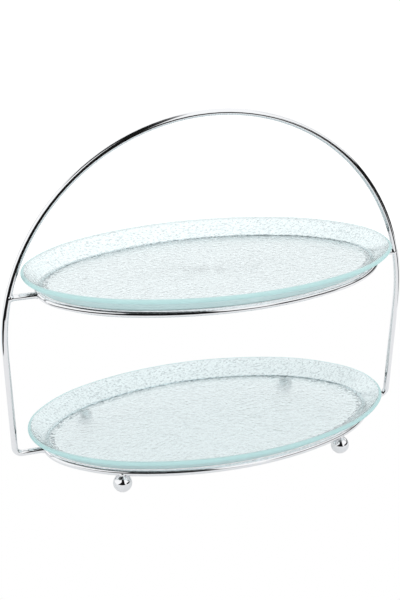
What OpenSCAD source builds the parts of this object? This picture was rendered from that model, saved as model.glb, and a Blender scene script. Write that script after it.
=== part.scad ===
// Two-tier cake stand: two oval glass platters in a chromed wire frame.
// The frame stands on the plane z = 0 with its middle over the origin. +X runs along the platters
// and +Z points up. The arch lies in the XZ plane.

/* [Platters] */
// Length of an oval platter over its rim
platter_length = 360; // [300:5:440]
// Width of an oval platter over its rim
platter_width = 210; // [170:5:255]
// Height of a platter from the underside of its well to the top of its rim
platter_height = 18; // [15:0.5:24]
// Thickness of the pressed glass
glass_t = 4.5; // [3:0.5:6]
// Width of the sloping rim, seen from above
rim_width = 20; // [16:1:30]
// Inner radius of the bend between the well and the rim
rim_bend_r = 5; // [2:0.5:8]

/* [Wire frame] */
// Diameter of the round wire
wire_d = 6; // [4:0.5:7.5]
// How far the middle of a ring's wire lies inside the platter's edge
ring_inset = 15; // [10:1:16]
// Height from the lower ring to the upper ring
tier_rise = 156.5; // [130:0.5:190]
// Height of the arch's centre above the lower ring
arch_centre_rise = 112; // [80:1:130]
// Space between the end of the upper platter's rim and the arch
end_clearance = 5; // [3:0.5:12]
// Angle at which the legs lean in towards the corners
leg_lean = 2.2; // [0.5:0.1:6]
// Bend radius of the wire's middle at the two lower corners
corner_r = 7; // [5:0.5:12]
// Diameter of the weld bead where two wires meet
weld_d = 7.6; // [6:0.1:10]

/* [Feet] */
// Diameter of a ball foot
ball_d = 17.5; // [12:0.5:26]
// Diameter of the welded neck between a ball and the ring
neck_d = 7; // [5:0.5:10]
// Depth of the ball's middle below the middle of the ring's wire
foot_drop = 10.5; // [10:0.5:16]
// Direction in which a foot lies off the middle of the outline, as the turn of the outline's normal
foot_turn = 64; // [50:1:80]

/* [Fits] */
// Space between the glass and the wire that it lies on
seat_gap = 0.3; // [0.2:0.05:0.6]
// Space left at a welded joint between two wires
weld_gap = 0.02; // [0.01:0.01:0.05]

/* [Hidden] */
$fn = 96;
chrome_colour = "silver";
glass_colour = [0.78, 0.93, 0.91, 0.6];

// The platter's outline is an oval of eight arcs, which keeps close to an ellipse.
// An end arc, a shoulder arc and a side arc meet where the outline's normal has turned this far.
end_turn = 40;
shoulder_turn = 68;
half_l = platter_length / 2;
half_w = platter_width / 2;
end_fullness = 1.08;
end_r = end_fullness * half_w * half_w / half_l;

// Shoulder and side radius: the two that bring the outline to the middle of its long side.
across = cos(shoulder_turn) - cos(end_turn);
along = sin(shoulder_turn) - sin(end_turn);
rest_x = end_r - half_l - end_r * cos(end_turn);
rest_y = half_w - end_r * sin(end_turn);
outline_det = across * (1 - sin(shoulder_turn)) + cos(shoulder_turn) * along;
shoulder_r = (rest_x * (1 - sin(shoulder_turn)) + cos(shoulder_turn) * rest_y) / outline_det;
side_r = (across * rest_y - along * rest_x) / outline_det;

end_centre = [half_l - end_r, 0];
shoulder_centre = end_centre + (end_r - shoulder_r) * [cos(end_turn), sin(end_turn)];
side_centre = [0, half_w - side_r];

// A point of the outline, moved inwards by inset, where the outline's normal has turned by turn.
function quarter_point(turn, inset) =
    turn < end_turn ? end_centre + (end_r - inset) * [cos(turn), sin(turn)]
    : turn < shoulder_turn ? shoulder_centre + (shoulder_r - inset) * [cos(turn), sin(turn)]
    : side_centre + (side_r - inset) * [cos(turn), sin(turn)];

// Platter section: a flat well, one bend and a straight rim with a round edge.
rim_slope = atan2(platter_height - glass_t, rim_width - glass_t / 2);
bend_run = (rim_bend_r + glass_t / 2) * tan(rim_slope / 2);
BEND_STEPS = 3;
EDGE_STEPS = 6;
QUARTER_STEPS = 18;

// Where the platter rests: the rim's underside touches the ring's wire, less the seat gap.
wire_r = wire_d / 2;
knuckle_swell = 0.02;
under_corner_inset = rim_width - glass_t / 2 * tan(rim_slope / 2);
seat_reach = (under_corner_inset - ring_inset) * sin(rim_slope);
platter_lift = (wire_r + seat_gap - seat_reach) / cos(rim_slope);

ring_l = half_l - ring_inset;
lower_z = ball_d / 2 + foot_drop;
upper_z = lower_z + tier_rise;
arch_z = lower_z + arch_centre_rise;

// The arch passes the ends of the upper platter's rim with end_clearance to spare.
rim_top = upper_z + platter_lift + platter_height;
arch_r = norm([half_l + end_clearance + wire_r, rim_top - arch_z]);
arch_half_w = sqrt(arch_r * arch_r - pow(upper_z - arch_z, 2));

// Each leg runs straight on from the arch, down to the corner.
leg_top = [arch_r * cos(leg_lean), arch_z - arch_r * sin(leg_lean)];
corner_x = leg_top.x - (leg_top.y - lower_z) * tan(leg_lean);
corner_run = corner_r * tan((90 - leg_lean) / 2);
leg_foot = [corner_x + corner_run * sin(leg_lean), lower_z + corner_run * cos(leg_lean)];
corner_centre = [corner_x - corner_run, lower_z + corner_r];

// The same shape in all four quarters of the outline.
module in_each_quarter() {
    for (side_x = [0, 1], side_y = [0, 1]) mirror([side_x, 0, 0]) mirror([0, side_y, 0]) children();
}

// Ball just larger than the wire, in which two of its stretches meet and fuse. Its axis is turned
// to run along the wire.
module wire_knuckle(d) sphere(d = d + 2 * knuckle_swell);

// A quarter's arc of round wire, between two turns of the outline's normal.
module outline_arc(centre, r, from, to, d) {
    translate(centre) rotate(from)
        rotate_extrude(angle = to - from) translate([r - ring_inset, 0]) circle(d = d);
}

module ring(z, d) {
    translate([0, 0, z]) {
        for (side = [0, 180]) rotate(side) {
            outline_arc(end_centre, end_r, -end_turn, end_turn, d);
            outline_arc(side_centre, side_r, shoulder_turn, 180 - shoulder_turn, d);
        }
        in_each_quarter() {
            outline_arc(shoulder_centre, shoulder_r, end_turn, shoulder_turn, d);
            for (turn = [end_turn, shoulder_turn])
                translate(quarter_point(turn, ring_inset)) rotate([90, 0, turn]) wire_knuckle(d);
        }
    }
}

// Straight wire between two points of the XZ plane.
module wire_rod(from, to) {
    translate([from.x, 0, from.y])
        rotate([0, atan2(to.x - from.x, to.y - from.y), 0])
            cylinder(h = norm(to - from), d = wire_d);
}

// Wire bent round a centre in the XZ plane, between two angles from +X towards +Z.
module wire_arc(centre, r, from, to, d = wire_d) {
    translate([centre.x, 0, centre.y]) rotate([90, 0, 0]) rotate(from)
        rotate_extrude(angle = to - from) translate([r, 0]) circle(d = d);
}

module weld_bead(x, z) {
    translate([x, 0, z]) sphere(d = weld_d);
}

module lower_side() {
    arm_end = [corner_centre.x, lower_z];
    wire_rod(leg_foot, leg_top);
    wire_arc(corner_centre, corner_r, -90, -leg_lean);
    wire_rod([ring_l, lower_z], arm_end);
    for (at = [leg_top, leg_foot]) translate([at.x, 0, at.y]) wire_knuckle(wire_d);
    translate([arm_end.x, 0, arm_end.y]) rotate([0, 90, 0]) wire_knuckle(wire_d);
    weld_bead(ring_l + wire_r, lower_z);
}

module arch_frame() color(chrome_colour) difference() {
    union() {
        wire_arc([0, arch_z], arch_r, -leg_lean, 180 + leg_lean);
        lower_side();
        mirror([1, 0, 0]) lower_side();
    }
    ring(lower_z, wire_d + 2 * weld_gap);
}

module upper_ring() color(chrome_colour) ring(upper_z, wire_d);

module lower_ring() color(chrome_colour) ring(lower_z, wire_d);

module upper_arm() color(chrome_colour) difference() {
    union() {
        wire_rod([ring_l, upper_z], [arch_half_w, upper_z]);
        weld_bead(ring_l + wire_r, upper_z);
        weld_bead(arch_half_w - wire_r, upper_z);
    }
    ring(upper_z, wire_d + 2 * weld_gap);
    wire_arc([0, arch_z], arch_r, 0, 45, wire_d + 2 * weld_gap);
}

module upper_left_arm() mirror([1, 0, 0]) upper_arm();

module upper_right_arm() upper_arm();

// Ball foot under the ring, in the quarter given by the signs of side_x and side_y.
module foot(side_x, side_y) {
    at = quarter_point(foot_turn, ring_inset);
    color(chrome_colour) difference() {
        translate([side_x * at.x, side_y * at.y, lower_z - foot_drop]) {
            sphere(d = ball_d);
            cylinder(h = foot_drop, d = neck_d);
        }
        ring(lower_z, wire_d + 2 * weld_gap);
    }
}

module foot_front_left() foot(-1, -1);

module foot_front_right() foot(1, -1);

module foot_rear_left() foot(-1, 1);

module foot_rear_right() foot(1, 1);

// Points of the platter's section as [inset, height], from the middle of the underside over the
// rim's edge to the upper side of the well.
function bend_points(r, angles) = [
    for (angle = angles)
        [rim_width + bend_run - r * sin(angle), glass_t + rim_bend_r - r * cos(angle)]
];
function edge_points(angles) = [
    for (angle = angles)
        [glass_t / 2 * (1 - cos(angle)), platter_height + glass_t / 2 * (sin(angle) - 1)]
];
bend_angles = [for (i = [0:BEND_STEPS]) i * rim_slope / BEND_STEPS];
section = concat(
    bend_points(rim_bend_r + glass_t, bend_angles),
    edge_points([for (i = [0:EDGE_STEPS]) rim_slope - 90 + i * 180 / EDGE_STEPS]),
    bend_points(rim_bend_r, [for (i = [BEND_STEPS:-1:0]) bend_angles[i]])
);

// The outline once round, moved inwards by inset, at one height.
function level(inset, z) = [
    for (i = [0:4 * QUARTER_STEPS - 1])
        let (
            turn = i * 90 / QUARTER_STEPS,
            p = quarter_point(acos(abs(cos(turn))), inset)
        )
        [sign(cos(turn)) * p.x, sign(sin(turn)) * p.y, z]
];

module platter(ring_z) {
    count = 4 * QUARTER_STEPS;
    last = len(section) - 1;
    color(glass_colour) translate([0, 0, ring_z + platter_lift]) polyhedron(
        points = [for (p = section) each level(p[0], p[1])],
        faces = concat(
            [[for (i = [0:count - 1]) i]],
            [
                for (k = [0:last - 1], i = [0:count - 1])
                    let (next = (i + 1) % count)
                    [k * count + i, (k + 1) * count + i, (k + 1) * count + next, k * count + next]
            ],
            [[for (i = [count - 1:-1:0]) last * count + i]]
        )
    );
}

module upper_platter() platter(upper_z);

module lower_platter() platter(lower_z);

arch_frame();
upper_ring();
lower_ring();
upper_left_arm();
upper_right_arm();
foot_front_left();
foot_front_right();
foot_rear_left();
foot_rear_right();
upper_platter();
lower_platter();
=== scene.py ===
import math

import bmesh
import bpy
from mathutils import Matrix, Vector, noise


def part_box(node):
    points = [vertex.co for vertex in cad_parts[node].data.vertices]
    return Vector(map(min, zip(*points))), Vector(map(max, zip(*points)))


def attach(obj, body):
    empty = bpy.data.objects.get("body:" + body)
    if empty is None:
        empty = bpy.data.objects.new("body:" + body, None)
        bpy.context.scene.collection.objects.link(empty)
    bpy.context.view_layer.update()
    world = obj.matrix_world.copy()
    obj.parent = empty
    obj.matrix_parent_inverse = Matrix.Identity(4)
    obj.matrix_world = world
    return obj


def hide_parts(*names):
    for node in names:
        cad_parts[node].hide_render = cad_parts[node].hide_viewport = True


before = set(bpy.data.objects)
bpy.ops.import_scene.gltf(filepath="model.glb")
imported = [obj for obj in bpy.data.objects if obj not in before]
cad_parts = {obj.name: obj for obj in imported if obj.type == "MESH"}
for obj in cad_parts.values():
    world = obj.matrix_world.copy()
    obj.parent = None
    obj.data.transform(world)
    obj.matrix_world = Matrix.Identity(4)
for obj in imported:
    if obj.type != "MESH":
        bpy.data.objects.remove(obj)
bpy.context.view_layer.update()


# ---------------------------------------------------------------- the two rings
# Each tier is carried by a closed oval ring: one length of drawn steel wire, bent on a former, butt
# welded and chromed with the rest of the frame. The oval is made of eight arcs, which run into each
# other without a kink. The glass lies on it, so it is as smooth and round as the wire it began as.

WIRE_R = 0.003
WIRE_SIDES = 40
ARC_STEP = math.radians(3)

ring_low, ring_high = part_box("lower_ring")
upper_ring_low, upper_ring_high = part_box("upper_ring")
LOWER_Z = (ring_low.z + ring_high.z) / 2
UPPER_Z = (upper_ring_low.z + upper_ring_high.z) / 2

RING_INSET = 0.015
HALF_L = (ring_high.x - ring_low.x) / 2 - WIRE_R + RING_INSET
HALF_W = (ring_high.y - ring_low.y) / 2 - WIRE_R + RING_INSET
END_FULLNESS = 1.08
END_TURN = math.radians(40)
SHOULDER_TURN = math.radians(68)


def unit(turn):
    return Vector((math.cos(turn), math.sin(turn), 0))


def outline_quarter():
    """Centre, radius and last turn of the three arcs that make a quarter of the platter's outline."""
    end_r = END_FULLNESS * HALF_W**2 / HALF_L
    end, shoulder = unit(END_TURN), unit(SHOULDER_TURN)
    across, along = shoulder.x - end.x, shoulder.y - end.y
    rest_x = end_r - HALF_L - end_r * end.x
    rest_y = HALF_W - end_r * end.y
    spread = across * (1 - shoulder.y) + shoulder.x * along
    shoulder_r = (rest_x * (1 - shoulder.y) + shoulder.x * rest_y) / spread
    side_r = (across * rest_y - along * rest_x) / spread
    end_centre = Vector((HALF_L - end_r, 0, 0))
    shoulder_centre = end_centre + (end_r - shoulder_r) * end
    side_centre = Vector((0, HALF_W - side_r, 0))
    return [
        (end_centre, end_r, END_TURN),
        (shoulder_centre, shoulder_r, SHOULDER_TURN),
        (side_centre, side_r, math.pi / 2),
    ]


QUARTER = outline_quarter()


def outline_arc(turn):
    """Centre and radius of the arc where the outline's normal has turned by turn."""
    fold = math.acos(min(1.0, abs(math.cos(turn))))
    centre, radius, _ = next((a for a in QUARTER if fold <= a[2] + 1e-9), QUARTER[-1])
    signs = Vector((math.copysign(1, math.cos(turn)), math.copysign(1, math.sin(turn)), 1))
    return centre * signs, radius


def new_piece(name, bm, body, material):
    """Makes the finished bmesh an object that rides on a body, in the place its mesh says."""
    for face in bm.faces:
        face.smooth = True
    mesh = bpy.data.meshes.new(name)
    bm.to_mesh(mesh)
    bm.free()
    mesh.materials.append(material)
    piece = bpy.data.objects.new(name, mesh)
    bpy.context.scene.collection.objects.link(piece)
    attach(piece, body)
    return piece


def wire_end(bm, place, along):
    """The round outline of the wire at a place, square to its direction: the first loop of a sweep."""
    turned = Vector(along).to_track_quat("Z", "Y").to_matrix().to_4x4()
    made = bmesh.ops.create_circle(
        bm, segments=WIRE_SIDES, radius=WIRE_R, matrix=Matrix.Translation(place) @ turned
    )
    return list({edge for vert in made["verts"] for edge in vert.link_edges})


def bend(bm, loop, centre, axis, angle):
    """Bends the wire on from its last loop, round a centre, and gives the new last loop."""
    steps = max(2, round(abs(angle) / ARC_STEP))
    swept = bmesh.ops.spin(
        bm, geom=loop, cent=centre, axis=axis, angle=angle, steps=steps, use_duplicate=False
    )
    return [part for part in swept["geom_last"] if isinstance(part, bmesh.types.BMEdge)]


def close_up(bm):
    """Welds the seams, fills open ends and turns every face outwards."""
    bmesh.ops.remove_doubles(bm, verts=bm.verts, dist=1e-6)
    open_edges = [edge for edge in bm.edges if edge.is_boundary]
    if open_edges:
        bmesh.ops.holes_fill(bm, edges=open_edges)
    bmesh.ops.recalc_face_normals(bm, faces=bm.faces)


def linear(hex_colour):
    """The linear colour of an sRGB hex value."""
    parts = [int(hex_colour[i : i + 2], 16) / 255 for i in (1, 3, 5)]
    return [c / 12.92 if c <= 0.04045 else ((c + 0.055) / 1.055) ** 2.4 for c in parts] + [1.0]


def add_node(tree, kind, **settings):
    """Adds a shader node. A setting names a property or a socket, or numbers a socket as in_0, in_1
    and so on: a value is set on it, and another node's output is linked to it."""
    made = tree.nodes.new(kind)
    sockets = {socket.name.replace(" ", "_"): socket for socket in reversed(made.inputs[:])}
    sockets |= {f"in_{i}": socket for i, socket in enumerate(made.inputs)}
    for name, value in settings.items():
        if isinstance(value, bpy.types.NodeSocket):
            tree.links.new(value, sockets[name])
        elif name in sockets:
            sockets[name].default_value = value
        else:
            setattr(made, name, value)
    return made


def new_material(name):
    material = bpy.data.materials.new(name)
    material.use_nodes = True
    material.node_tree.nodes.clear()
    return material


# Fingermarks and wiping show as soft patches a few centimetres long.
HAZE_MM = 30
POLISHED = 0.01
FINGERED = 0.05


def bright_chrome(name, wave_mm, wave_depth_mm):
    """Bright chrome plate on polished steel: a hard, near white mirror, with a slight waviness left by
    drawing or forming the steel and a thin haze where it has been handled and wiped."""
    material = new_material(name)
    tree = material.node_tree
    place = add_node(tree, "ShaderNodeTexCoord").outputs["Object"]
    haze = add_node(tree, "ShaderNodeTexNoise", Vector=place, Scale=1000 / HAZE_MM, Detail=3.0)
    roughness = add_node(
        tree,
        "ShaderNodeMapRange",
        Value=haze.outputs["Fac"],
        From_Min=0.35,
        From_Max=0.75,
        To_Min=POLISHED,
        To_Max=FINGERED,
    )
    wave = add_node(tree, "ShaderNodeTexNoise", Vector=place, Scale=1000 / wave_mm, Detail=1.0)
    bump = add_node(
        tree,
        "ShaderNodeBump",
        Height=wave.outputs["Fac"],
        Strength=1.0,
        Distance=wave_depth_mm / 1000,
    )
    metal = add_node(
        tree,
        "ShaderNodeBsdfPrincipled",
        Base_Color=linear("#E9EAEC"),
        Metallic=1.0,
        Roughness=roughness.outputs["Result"],
        Normal=bump.outputs["Normal"],
    )
    add_node(tree, "ShaderNodeOutputMaterial", Surface=metal.outputs["BSDF"])
    return material


# Drawn wire is straight to about a hundredth of a millimetre over a few wire diameters.
chromed_wire = bright_chrome("bright_chrome_on_drawn_wire", wave_mm=14, wave_depth_mm=0.02)


def oval_wire(name, node, z):
    turns = [0, END_TURN, SHOULDER_TURN]
    turns += [math.pi - turn for turn in reversed(turns[1:])]
    turns += [math.pi + turn for turn in turns[1:]] + [2 * math.pi]
    bm = bmesh.new()
    loop = wire_end(bm, Vector((HALF_L - RING_INSET, 0, z)), (0, 1, 0))
    for first, last in zip(turns, turns[1:]):
        centre, _ = outline_arc((first + last) / 2)
        loop = bend(bm, loop, centre + Vector((0, 0, z)), (0, 0, 1), last - first)
    close_up(bm)
    piece = new_piece(name, bm, "stand", chromed_wire)
    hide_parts(node)


oval_wire("lower_ring_wire", "lower_ring", LOWER_Z)
oval_wire("upper_ring_wire", "upper_ring", UPPER_Z)


# ---------------------------------------------------------------- the arch
# Handle, legs and lower arms are one wire. It is bent to a round arch, runs straight down in two legs
# that lean in a little, turns two tight corners and ends in short arms. These are welded to the ends
# of the lower ring, where the weld swells the wire a little.

arch_low, arch_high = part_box("arch_frame")
LEG_LEAN = math.radians(2.2)
CORNER_R = 0.007
ARCH_R = (arch_high.x - arch_low.x) / 2 - WIRE_R
ARCH_Z = arch_high.z - WIRE_R - ARCH_R
RING_END = HALF_L - RING_INSET
# How far the weld reaches along an arm, and the wire's radius there, from the ring outwards.
WELD_RUN = [(0.0022, 0.00375), (0.0008, 0.0036), (0.001, 0.0032), (0.001, WIRE_R)]

leg_top = Vector((ARCH_R * math.cos(LEG_LEAN), 0, ARCH_Z - ARCH_R * math.sin(LEG_LEAN)))
corner_x = leg_top.x - (leg_top.z - LOWER_Z) * math.tan(LEG_LEAN)
corner_run = CORNER_R * math.tan((math.pi / 2 - LEG_LEAN) / 2)
leg_foot = Vector(
    (corner_x + corner_run * math.sin(LEG_LEAN), 0, LOWER_Z + corner_run * math.cos(LEG_LEAN))
)
corner_centre = Vector((corner_x - corner_run, 0, LOWER_Z + CORNER_R))
weld_length = sum(run for run, _ in WELD_RUN)


def run_on(bm, loop, move, radius=WIRE_R, from_radius=WIRE_R):
    """Runs the wire straight on by a move, to a new radius, and gives the new last loop."""
    swept = bmesh.ops.extrude_edge_only(bm, edges=loop)["geom"]
    verts = [part for part in swept if isinstance(part, bmesh.types.BMVert)]
    bmesh.ops.translate(bm, verts=verts, vec=move)
    middle = sum((vert.co for vert in verts), Vector()) / len(verts)
    bmesh.ops.scale(
        bm, verts=verts, vec=[radius / from_radius] * 3, space=Matrix.Translation(-middle)
    )
    return [part for part in swept if isinstance(part, bmesh.types.BMEdge)]


def weld_on(bm, loop, direction, outwards=True):
    """Takes the wire through a weld's swelling, away from the joint or up to it."""
    radius = WIRE_R
    runs = WELD_RUN
    if not outwards:
        thicker = [*reversed(WELD_RUN[:-1]), WELD_RUN[0]]
        runs = [(run, thick) for (run, _), (_, thick) in zip(reversed(WELD_RUN), thicker)]
    for run, thick in runs:
        loop = run_on(bm, loop, direction * run, thick, radius)
        radius = thick
    return loop


ACROSS = Vector((1, 0, 0))
bm = bmesh.new()
loop = wire_end(bm, Vector((-RING_END, 0, LOWER_Z)), ACROSS)
loop = weld_on(bm, loop, -ACROSS)
loop = run_on(bm, loop, -ACROSS * (corner_centre.x - RING_END - weld_length))
mirrored_corner = Vector((-corner_centre.x, 0, corner_centre.z))
quarter_bend = math.pi / 2 - LEG_LEAN
loop = bend(bm, loop, mirrored_corner, (0, 1, 0), quarter_bend)
loop = run_on(bm, loop, Vector((leg_foot.x - leg_top.x, 0, leg_top.z - leg_foot.z)))
loop = bend(bm, loop, Vector((0, 0, ARCH_Z)), (0, 1, 0), math.pi + 2 * LEG_LEAN)
loop = run_on(bm, loop, leg_foot - leg_top)
loop = bend(bm, loop, corner_centre, (0, 1, 0), quarter_bend)
loop = run_on(bm, loop, -ACROSS * (corner_centre.x - RING_END - weld_length))
loop = weld_on(bm, loop, -ACROSS, outwards=False)
close_up(bm)
arch = new_piece("arch_wire", bm, "stand", chromed_wire)
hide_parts("arch_frame")


# ---------------------------------------------------------------- the upper arms
# Two short straight wires join the ends of the upper ring to the arch. Each is butted against both
# and welded before plating, so a smooth round bead swells it at either end.

arch_half_w = math.sqrt(ARCH_R**2 - (UPPER_Z - ARCH_Z) ** 2)
for side, node in ((-1, "upper_left_arm"), (1, "upper_right_arm")):
    bm = bmesh.new()
    outwards = ACROSS * side
    loop = wire_end(bm, outwards * RING_END + Vector((0, 0, UPPER_Z)), outwards)
    loop = weld_on(bm, loop, outwards)
    loop = run_on(bm, loop, outwards * (arch_half_w - RING_END - 2 * weld_length))
    loop = weld_on(bm, loop, outwards, outwards=False)
    close_up(bm)
    arm = new_piece(node + "_wire", bm, "stand", chromed_wire)
    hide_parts(node)


# ---------------------------------------------------------------- the ball feet
# Four steel balls stand under the lower ring. Each is stud welded to the underside of the wire and the
# weld is dressed to a short waisted neck, which laps a little way up the sides of the wire.

chromed_ball = bright_chrome("bright_chrome_on_steel_ball", wave_mm=9, wave_depth_mm=0.01)
BALL_STEPS = 28
FOOT_SIDES = 56
NECK_R = 0.0034
# The dressed weld is this much thicker where the neck runs into the ball, and this high there.
FILLET = 0.0007
FILLET_RISE = 0.0006
# The weld laps up the wire's sides to a flat cap a little above the wire's middle.
LAP_R = 0.0037
CAP_RISE = WIRE_R / 4

for node in ("foot_front_left", "foot_front_right", "foot_rear_left", "foot_rear_right"):
    foot_low, foot_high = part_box(node)
    middle = (foot_low + foot_high) / 2
    ball_r = (foot_high.x - foot_low.x) / 2
    ball_centre = Vector((middle.x, middle.y, foot_low.z + ball_r))
    neck_turn = math.pi - math.asin((NECK_R + FILLET) / ball_r)
    ball = [i * neck_turn / BALL_STEPS for i in range(BALL_STEPS + 1)]
    outline = [(ball_r * math.sin(turn), -ball_r * math.cos(turn)) for turn in ball]
    rise = LOWER_Z - ball_centre.z
    outline += [
        (NECK_R + 0.0002, outline[-1][1] + FILLET_RISE),
        (NECK_R, rise - WIRE_R + 0.0004),
        (LAP_R, rise - WIRE_R / 2),
        (LAP_R, rise - WIRE_R / 5),
        (LAP_R * 0.92, rise + WIRE_R / 8),
        (LAP_R * 0.6, rise + CAP_RISE),
        (0, rise + CAP_RISE),
    ]
    bm = bmesh.new()
    verts = [bm.verts.new(ball_centre + Vector((across, 0, up))) for across, up in outline]
    edges = [bm.edges.new(pair) for pair in zip(verts, verts[1:])]
    bmesh.ops.spin(
        bm,
        geom=verts + edges,
        cent=ball_centre,
        axis=(0, 0, 1),
        angle=2 * math.pi,
        steps=FOOT_SIDES,
        use_merge=True,
        use_duplicate=False,
    )
    close_up(bm)
    foot = new_piece(node + "_ball", bm, "stand", chromed_ball)
    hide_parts(node)


# ---------------------------------------------------------------- the glass platters
# Two alike oval dishes of pressed soda-lime glass. Sheet glass is slumped into a mould that presses a
# hammered pattern into the underside, while the upper side and the rim's edge stay fire polished.
# Nothing holds them: the slope of the rim lies on the ring's wire.

GLASS_T = 0.0045
RIM_WIDTH = 0.020
BEND_R = 0.005
# How finely the mesh is divided: round the outline, and in rings from the middle over the rim.
EDGE_COLUMNS = 720
UNDER_WELL_RINGS = 78
UNDER_RIM_RINGS = 18
BEND_RINGS = 5
EDGE_RINGS = 8
RIM_RINGS = 7
WELL_RINGS = 12

platter_low, platter_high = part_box("upper_platter")
PLATTER_H = platter_high.z - platter_low.z
rim_slope = math.atan2(PLATTER_H - GLASS_T, RIM_WIDTH - GLASS_T / 2)
bend_run = (BEND_R + GLASS_T / 2) * math.tan(rim_slope / 2)
WELL_INSET = RIM_WIDTH + bend_run


def outline_point(turn, inset):
    centre, radius = outline_arc(turn)
    return centre + (radius - inset) * unit(turn)


def even_turn(share):
    """The turn of the outline's normal after a share of the way round, in even steps of length."""
    lengths, first = [], 0
    for _, radius, last in QUARTER:
        lengths.append((last - first) * radius)
        first = last
    quarter, part = divmod(share * 4, 1)
    if quarter % 2:
        part = 1 - part
    left, first = part * sum(lengths), 0
    for length, (_, radius, last) in zip(lengths, QUARTER):
        if left <= length + 1e-12:
            turn = first + left / radius
            break
        left, first = left - length, last
    return (quarter + 1) * math.pi / 2 - turn if quarter % 2 else quarter * math.pi / 2 + turn


def spread_between(first, last, steps):
    """Points from first to last in even steps, without the first."""
    return [
        (first[0] + (last[0] - first[0]) * i / steps, first[1] + (last[1] - first[1]) * i / steps)
        for i in range(1, steps + 1)
    ]


def bend_points(radius, turns):
    """Points of the section on the bend between well and rim, at a radius from the bend's centre."""
    return [
        (WELL_INSET - radius * math.sin(turn), GLASS_T + BEND_R - radius * math.cos(turn))
        for turn in turns
    ]


def platter_section():
    """The platter's section as (inset, height), from the middle of the underside over the rim."""
    bend_turns = [rim_slope * i / BEND_RINGS for i in range(BEND_RINGS + 1)]
    edge_turns = [rim_slope - math.pi / 2 + math.pi * i / EDGE_RINGS for i in range(EDGE_RINGS + 1)]
    edge = [
        (GLASS_T / 2 * (1 - math.cos(turn)), PLATTER_H + GLASS_T / 2 * (math.sin(turn) - 1))
        for turn in edge_turns
    ]
    under_bend = bend_points(BEND_R + GLASS_T, bend_turns)
    upper_bend = bend_points(BEND_R, reversed(bend_turns))
    section = [(HALF_L, 0)]
    section += spread_between((HALF_L, 0), (WELL_INSET, 0), UNDER_WELL_RINGS)
    section += under_bend[1:] + spread_between(under_bend[-1], edge[0], UNDER_RIM_RINGS)
    section += edge[1:] + spread_between(edge[-1], upper_bend[0], RIM_RINGS)
    section += upper_bend[1:]
    section += spread_between((WELL_INSET, GLASS_T), (HALF_L, GLASS_T), WELL_RINGS)
    return section


# The pebbles' width varies by up to about a third, in patches several pebbles wide.
PEBBLE_MM = 3.9
PEBBLE_DEPTH = 0.00018
PEBBLE_UNEVENNESS = 0.35
PATCH_PEBBLES = 6
# How soon a pebble falls away to the crease round it, and how domed it is on the way.
PEBBLE_FALL = 1.15
PEBBLE_DOME = 1.5


def pebble(place):
    """Height of the hammered pattern, from 0 to 1: round pebbles of uneven size that meet in creases."""
    cell = PEBBLE_MM / 1000
    warp = noise.noise(place / (cell * PATCH_PEBBLES)) * PEBBLE_UNEVENNESS
    near = noise.voronoi(place / (cell * (1 + warp)))[0][0]
    return max(0.0, 1 - near * PEBBLE_FALL) ** PEBBLE_DOME


# How milky, how satin and how deeply patterned each part of the glass is; the pattern's depth also sets
# how dark the painted crease shade is. The edge is seen through much more glass than the well, so it is
# made milky and aqua; the pressing is deepest at the bend.
LAYERS = ("haze", "satin", "relief_and_crease_shade")
WELL = (0.1, 0.18, 0.3)
BEND = (0.05, 0.02, 1.5)
RIM = (0.1, 0.04, 0.5)
CREST = (0.78, 0.3, 0.0)
EDGE = (0.85, 0.4, 0.08)
UNDER_RIM = (0.78, 0.2, 0.5)
BEND_REACH = 0.0025
EDGE_INSET = 0.0013
CREST_INSET = 0.0024


def part_at(inset, height):
    """The part of the platter that a face at an inset and a height belongs to."""
    if abs(inset - WELL_INSET) < BEND_REACH:
        return BEND
    if inset > WELL_INSET:
        return WELL
    if inset < EDGE_INSET:
        return EDGE
    if height < GLASS_T / 2 + max(0, RIM_WIDTH - inset) * math.tan(rim_slope):
        return UNDER_RIM
    return CREST if inset < CREST_INSET else RIM


def platter_shape(seed):
    """A platter on the plane z = 0: a round dish, drawn out to the oval, then pressed from below."""
    bm = bmesh.new()
    verts = [bm.verts.new((HALF_L - inset, 0, height)) for inset, height in platter_section()]
    edges = [bm.edges.new(pair) for pair in zip(verts, verts[1:])]
    bmesh.ops.spin(
        bm,
        geom=verts + edges,
        cent=(0, 0, 0),
        axis=(0, 0, 1),
        angle=math.pi / 2,
        steps=EDGE_COLUMNS // 4,
        use_duplicate=False,
    )
    for axis in ("X", "Y"):
        whole = bm.verts[:] + bm.edges[:] + bm.faces[:]
        bmesh.ops.mirror(bm, geom=whole, axis=axis, merge_dist=1e-7)
    bmesh.ops.remove_doubles(bm, verts=bm.verts, dist=1e-7)
    layers = [bm.faces.layers.float.new(name) for name in LAYERS]
    for face in bm.faces:
        middle = face.calc_center_median()
        part = part_at(HALF_L - math.hypot(middle.x, middle.y), middle.z)
        for layer, value in zip(layers, part):
            face[layer] = value
    turns = [even_turn(column / EDGE_COLUMNS) for column in range(EDGE_COLUMNS)]
    for vert in bm.verts:
        reach = math.hypot(vert.co.x, vert.co.y)
        column = math.atan2(vert.co.y, vert.co.x) / (2 * math.pi) * EDGE_COLUMNS
        place = outline_point(turns[round(column) % EDGE_COLUMNS], min(HALF_L - reach, WELL_INSET))
        if HALF_L - reach > WELL_INSET:
            place *= reach / (HALF_L - WELL_INSET)
        vert.co = (place.x, place.y, vert.co.z)
    bmesh.ops.recalc_face_normals(bm, faces=bm.faces)
    bm.normal_update()
    shift = Vector((seed, seed * 2, 0))
    for vert in bm.verts:
        faces_down = vert.normal.z < -0.5
        if faces_down:
            depth = PEBBLE_DEPTH * (1 - pebble(vert.co * Vector((1, 1, 0)) + shift))
            vert.co -= vert.normal * depth
    return bm
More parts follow.
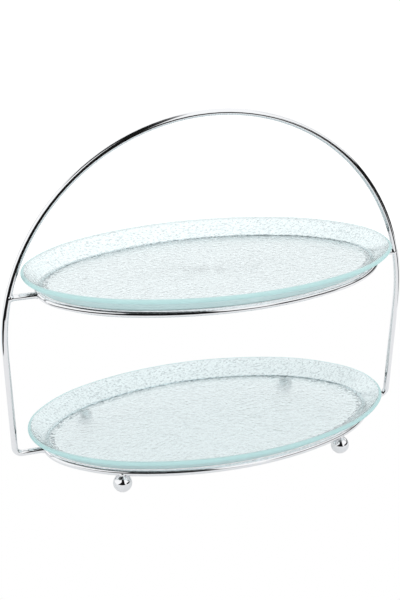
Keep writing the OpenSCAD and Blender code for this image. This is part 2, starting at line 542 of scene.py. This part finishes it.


# The fine pattern: cells about as wide as the glass is thick, wavy between them. Short creases that
# slant across the platter are not in the relief: they are painted grey into the glass's colour, as
# painted shade where creases would bend the light away.
CELL_MM = 3.4
RIPPLE_MM = 1.6
RIPPLE_SHARE = 0.4
RELIEF_DEPTH = 0.0004
CREASE_SHADE_MM = 1.5
CREASE_SHADE_TURN = math.radians(-35)
CREASE_SHADE_SLENDERNESS = 0.5
# Light that is already inside the glass meets this much of its milkiness.
HAZE_FROM_INSIDE = 0.1

# Soda-lime glass, pressed: clear and bright, with the faint blue-green of its iron, which gathers
# wherever light travels far inside it. Its hammered side scatters a little light, so it looks milky.
glass = new_material("pressed_aqua_soda_lime_glass")
tree = glass.node_tree
place = add_node(tree, "ShaderNodeTexCoord").outputs["Object"]
painted = {
    layer: add_node(tree, "ShaderNodeAttribute", attribute_name=layer).outputs["Fac"]
    for layer in LAYERS
}
cells = add_node(tree, "ShaderNodeTexVoronoi", Vector=place, Scale=1000 / CELL_MM)
ripple = add_node(tree, "ShaderNodeTexNoise", Vector=place, Scale=1000 / RIPPLE_MM, Detail=2.0)
height = add_node(
    tree,
    "ShaderNodeMath",
    operation="MULTIPLY_ADD",
    in_0=ripple.outputs["Fac"],
    in_1=RIPPLE_SHARE,
    in_2=cells.outputs["Distance"],
)
bump = add_node(
    tree,
    "ShaderNodeBump",
    Height=height.outputs["Value"],
    Strength=painted["relief_and_crease_shade"],
    Distance=RELIEF_DEPTH,
)
slanted = add_node(
    tree,
    "ShaderNodeMapping",
    Vector=place,
    Rotation=(0, 0, CREASE_SHADE_TURN),
    Scale=(CREASE_SHADE_SLENDERNESS, 1, 1),
)
strokes = add_node(
    tree,
    "ShaderNodeTexNoise",
    Vector=slanted.outputs["Vector"],
    Scale=1000 / CREASE_SHADE_MM,
    Detail=1.5,
    Roughness=0.55,
)
# Where the slanted streaks show, the glass gets painted crease shade.
crease_shade_mask = add_node(
    tree, "ShaderNodeMapRange", Value=strokes.outputs["Fac"], From_Min=0.52, From_Max=0.68
)
painted_crease_shade = add_node(
    tree,
    "ShaderNodeMath",
    operation="MULTIPLY",
    use_clamp=True,
    in_0=crease_shade_mask.outputs["Result"],
    in_1=painted["relief_and_crease_shade"],
)
# Painted shade: the glass's colour turns dark grey along the creases.
clear_and_crease_shade_colour = add_node(
    tree,
    "ShaderNodeMix",
    data_type="RGBA",
    Factor=painted_crease_shade.outputs["Value"],
    in_6=linear("#FAFEFF"),
    in_7=linear("#4A5560"),
)
clear_glass = add_node(
    tree,
    "ShaderNodeBsdfPrincipled",
    Base_Color=clear_and_crease_shade_colour.outputs[2],
    IOR=1.5,
    Transmission_Weight=1.0,
    Roughness=painted["satin"],
    Normal=bump.outputs["Normal"],
)
aqua_share = add_node(
    tree, "ShaderNodeMapRange", Value=painted["haze"], From_Min=0.55, From_Max=1.0
)
milky_colour = add_node(
    tree,
    "ShaderNodeMix",
    data_type="RGBA",
    Factor=aqua_share.outputs["Result"],
    in_6=linear("#E8F4F7"),
    in_7=linear("#A5DAD8"),
)
milky_glass = add_node(
    tree,
    "ShaderNodeBsdfPrincipled",
    Base_Color=milky_colour.outputs[2],
    Roughness=0.5,
    Specular_IOR_Level=0.1,
    Normal=bump.outputs["Normal"],
)
from_outside = add_node(
    tree,
    "ShaderNodeMapRange",
    Value=add_node(tree, "ShaderNodeNewGeometry").outputs["Backfacing"],
    To_Min=1.0,
    To_Max=HAZE_FROM_INSIDE,
)
haze_here = add_node(
    tree,
    "ShaderNodeMath",
    operation="MULTIPLY",
    in_0=from_outside.outputs["Result"],
    in_1=painted["haze"],
)
# The chrome mirrors the glass as clear, so the dark opening of the tent shows through it there.
light = add_node(tree, "ShaderNodeLightPath")
in_chrome = add_node(
    tree,
    "ShaderNodeMath",
    operation="SUBTRACT",
    use_clamp=True,
    in_0=light.outputs["Is Glossy Ray"],
    in_1=light.outputs["Is Transmission Ray"],
)
haze_seen = add_node(
    tree,
    "ShaderNodeMath",
    operation="SUBTRACT",
    use_clamp=True,
    in_0=haze_here.outputs["Value"],
    in_1=in_chrome.outputs["Value"],
)
body = add_node(
    tree,
    "ShaderNodeMixShader",
    in_0=haze_seen.outputs["Value"],
    in_1=clear_glass.outputs["BSDF"],
    in_2=milky_glass.outputs["BSDF"],
)
# Glass casts next to no shadow.
faint_shadow = add_node(tree, "ShaderNodeBsdfTransparent", Color=linear("#EEF8F7"))
surface = add_node(
    tree,
    "ShaderNodeMixShader",
    in_0=light.outputs["Is Shadow Ray"],
    in_1=body.outputs["Shader"],
    in_2=faint_shadow.outputs["BSDF"],
)
iron = add_node(tree, "ShaderNodeVolumeAbsorption", Color=linear("#A8F0F0"), Density=12.0)
add_node(
    tree,
    "ShaderNodeOutputMaterial",
    Surface=surface.outputs["Shader"],
    Volume=iron.outputs["Volume"],
)

for seed, node in ((0.0, "lower_platter"), (0.37, "upper_platter")):
    bm = platter_shape(seed)
    bmesh.ops.translate(bm, verts=bm.verts, vec=(0, 0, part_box(node)[0].z))
    dish = new_piece(node + "_glass", bm, node, glass)
    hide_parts(node)


# ---------------------------------------------------------------- the studio
# The stand is on a small sheet of white paper, in a tent of light. The tent is open where the camera
# looks in, and dark cloth shows there and between its panels; only the chrome and the glass see it.

CAMERA_TURN = math.radians(-20.43)
CAMERA_RISE = math.radians(21.95)
CAMERA_REACH = 1.182
LOOK_AT = Vector((-0.0114, 0, 0.1504))
ROLL = math.radians(0.52)
FOCAL_LENGTH = 75.2

camera_data = bpy.data.cameras.new("camera")
camera = bpy.data.objects.new("camera", camera_data)
bpy.context.scene.collection.objects.link(camera)
towards_camera = Vector(
    (
        math.sin(CAMERA_TURN) * math.cos(CAMERA_RISE),
        -math.cos(CAMERA_TURN) * math.cos(CAMERA_RISE),
        math.sin(CAMERA_RISE),
    )
)
camera.location = LOOK_AT + towards_camera * CAMERA_REACH
turned = (-towards_camera).to_track_quat("-Z", "Y").to_matrix().to_4x4()
camera.rotation_euler = (turned @ Matrix.Rotation(ROLL, 4, "Z")).to_euler()
camera_data.lens = FOCAL_LENGTH
camera_data.clip_end = 20
bpy.context.scene.camera = camera

PAPER_HALF = 0.45
PAPER_MIDDLE = (0, 0.02)
PAPER_DROP = 0.0002
GRAIN_SCALE = 900.0
GRAIN_DEPTH = 0.00005
# The paper is white to the camera; the glass and the chrome see it a little darker.
PAPER_THROUGH_GLASS = 0.62
PAPER_IN_CHROME = 0.6

# Uncoated paper: white and matt, with a fine grain of fibres.
paper = new_material("white_paper")
tree = paper.node_tree
place = add_node(tree, "ShaderNodeTexCoord").outputs["Object"]
grain = add_node(tree, "ShaderNodeTexNoise", Vector=place, Scale=GRAIN_SCALE)
fibres = add_node(
    tree, "ShaderNodeBump", Height=grain.outputs["Fac"], Strength=0.3, Distance=GRAIN_DEPTH
)
matt = add_node(
    tree,
    "ShaderNodeBsdfPrincipled",
    Base_Color=linear("#E6E6E8"),
    Roughness=0.9,
    Normal=fibres.outputs["Normal"],
)
lit = add_node(tree, "ShaderNodeEmission", Color=(1, 1, 1, 1), Strength=1.0)
light = add_node(tree, "ShaderNodeLightPath")
lit_share = light.outputs["Is Camera Ray"]
for ray, share in (("Is Transmission Ray", PAPER_THROUGH_GLASS), ("Is Glossy Ray", PAPER_IN_CHROME)):
    seen = add_node(
        tree, "ShaderNodeMath", operation="MULTIPLY", in_0=light.outputs[ray], in_1=share
    )
    lit_share = add_node(
        tree, "ShaderNodeMath", operation="MAXIMUM", in_0=lit_share, in_1=seen.outputs["Value"]
    ).outputs["Value"]
sheet = add_node(
    tree,
    "ShaderNodeMixShader",
    in_0=lit_share,
    in_1=matt.outputs["BSDF"],
    in_2=lit.outputs["Emission"],
)
add_node(tree, "ShaderNodeOutputMaterial", Surface=sheet.outputs["Shader"])

bm = bmesh.new()
bmesh.ops.create_grid(bm, x_segments=1, y_segments=1, size=PAPER_HALF)
bmesh.ops.translate(bm, verts=bm.verts, vec=(*PAPER_MIDDLE, -PAPER_DROP))
floor_mesh = bpy.data.meshes.new("paper_floor")
bm.to_mesh(floor_mesh)
bm.free()
floor_mesh.materials.append(paper)
floor = bpy.data.objects.new("paper_floor", floor_mesh)
bpy.context.scene.collection.objects.link(floor)

world = bpy.data.worlds.new("light_tent")
bpy.context.scene.world = world
world.use_nodes = True
tree = world.node_tree
tree.nodes.clear()
direction = add_node(tree, "ShaderNodeTexCoord").outputs["Generated"]
up = add_node(tree, "ShaderNodeSeparateXYZ", Vector=direction).outputs["Z"]


def nearness(turn, rise=0):
    """How near each direction is to one that is turned to the right of the camera and raised, in
    degrees: the cosine of the angle between them."""
    around, rise = CAMERA_TURN + math.radians(turn), math.radians(rise)
    flat = math.cos(rise)
    towards = (math.sin(around) * flat, -math.cos(around) * flat, math.sin(rise))
    return add_node(
        tree, "ShaderNodeVectorMath", operation="DOT_PRODUCT", in_0=direction, in_1=towards
    ).outputs["Value"]


def within(*edges):
    """1 where each value is past its edge, softly down to 0 where one isn't. The softness is below
    zero where a value has to stay under its edge."""
    share = 1.0
    for value, edge, softness in edges:
        past = add_node(
            tree,
            "ShaderNodeMapRange",
            Value=value,
            From_Min=edge - softness,
            From_Max=edge + softness,
        )
        share = add_node(
            tree, "ShaderNodeMath", operation="MULTIPLY", in_0=past.outputs["Result"], in_1=share
        ).outputs["Value"]
    return share


def standing_gap(turn, half_width, taper, bottom, top):
    """A gap between two standing panels: half_width to either side at the horizon, and narrower
    further up."""
    aside = add_node(tree, "ShaderNodeMath", operation="ABSOLUTE", in_0=nearness(turn + 90))
    room = add_node(
        tree, "ShaderNodeMath", operation="MULTIPLY_ADD", in_0=up, in_1=-taper, in_2=half_width
    )
    spare = add_node(
        tree,
        "ShaderNodeMath",
        operation="SUBTRACT",
        in_0=room.outputs["Value"],
        in_1=aside.outputs["Value"],
    )
    return within(
        (spare.outputs["Value"], 0, 0.03),
        (nearness(turn), 0, 0.02),
        (up, bottom, 0.03),
        (up, top, -0.03),
    )


def level_gap(turn, reach, rise, half_height):
    """A gap along the horizon, as far as reach to either side of a turn."""
    above = add_node(
        tree, "ShaderNodeMath", operation="SUBTRACT", in_0=up, in_1=math.sin(math.radians(rise))
    )
    apart = add_node(tree, "ShaderNodeMath", operation="ABSOLUTE", in_0=above.outputs["Value"])
    return within(
        (apart.outputs["Value"], half_height, -0.02),
        (nearness(turn), math.cos(math.radians(reach)), 0.05),
    )


FAINT = 0.7
faint_gap = add_node(
    tree,
    "ShaderNodeMath",
    operation="MULTIPLY",
    in_0=standing_gap(110, 0.07, 0, 0.05, 0.8),
    in_1=FAINT,
)
gaps = faint_gap.outputs["Value"]
for gap in (
    standing_gap(-4, 0.72, 1.1, -0.8, 0.65),
    standing_gap(9, 0.4, 0.2, -0.5, 0.98),
    within((nearness(-90, 70), math.cos(math.radians(27)), 0.02)),
    level_gap(98, 46, 2, 0.2),
):
    gaps = add_node(
        tree, "ShaderNodeMath", operation="MAXIMUM", in_0=gaps, in_1=gap
    ).outputs["Value"]

TENT_LIGHT = 1.15
GAP_LIGHT = 0.01
# The tent's far wall is in half shade to the chrome.
WALL_SHADE = 0.5
# How dark the gaps are straight through the glass; once mirrored, they are quite dark.
THROUGH_GLASS = 0.12

light = add_node(tree, "ShaderNodeLightPath")
in_chrome = add_node(
    tree,
    "ShaderNodeMath",
    operation="SUBTRACT",
    use_clamp=True,
    in_0=light.outputs["Is Glossy Ray"],
    in_1=light.outputs["Is Transmission Ray"],
)
gap_strength = add_node(
    tree, "ShaderNodeMapRange", Value=light.outputs["Glossy Depth"], To_Min=THROUGH_GLASS, To_Max=1.0
)
in_glass = add_node(
    tree,
    "ShaderNodeMath",
    operation="MULTIPLY",
    in_0=light.outputs["Is Transmission Ray"],
    in_1=gap_strength.outputs["Result"],
)
mirrored = add_node(
    tree,
    "ShaderNodeMath",
    operation="MAXIMUM",
    in_0=in_chrome.outputs["Value"],
    in_1=in_glass.outputs["Value"],
)
gap_shade = add_node(
    tree, "ShaderNodeMath", operation="MULTIPLY", in_0=gaps, in_1=mirrored.outputs["Value"]
)
far_wall = within((nearness(180), 0.55, 0.15), (up, 0.2, -0.1), (in_chrome.outputs["Value"], 0.5, 0.5))
wall_shade = add_node(tree, "ShaderNodeMath", operation="MULTIPLY", in_0=far_wall, in_1=WALL_SHADE)
shade = add_node(
    tree,
    "ShaderNodeMath",
    operation="MAXIMUM",
    in_0=gap_shade.outputs["Value"],
    in_1=wall_shade.outputs["Value"],
)
strength = add_node(
    tree,
    "ShaderNodeMapRange",
    Value=shade.outputs["Value"],
    To_Min=TENT_LIGHT,
    To_Max=GAP_LIGHT,
)
white = add_node(
    tree, "ShaderNodeBackground", Color=(1, 1, 1, 1), Strength=strength.outputs["Result"]
)
add_node(tree, "ShaderNodeOutputWorld", Surface=white.outputs["Background"])

bpy.context.scene.view_settings.view_transform = "Standard"
# Light bounces many times between the two faces of the glass.
bpy.context.scene.cycles.max_bounces = 32
bpy.context.scene.cycles.transmission_bounces = 32
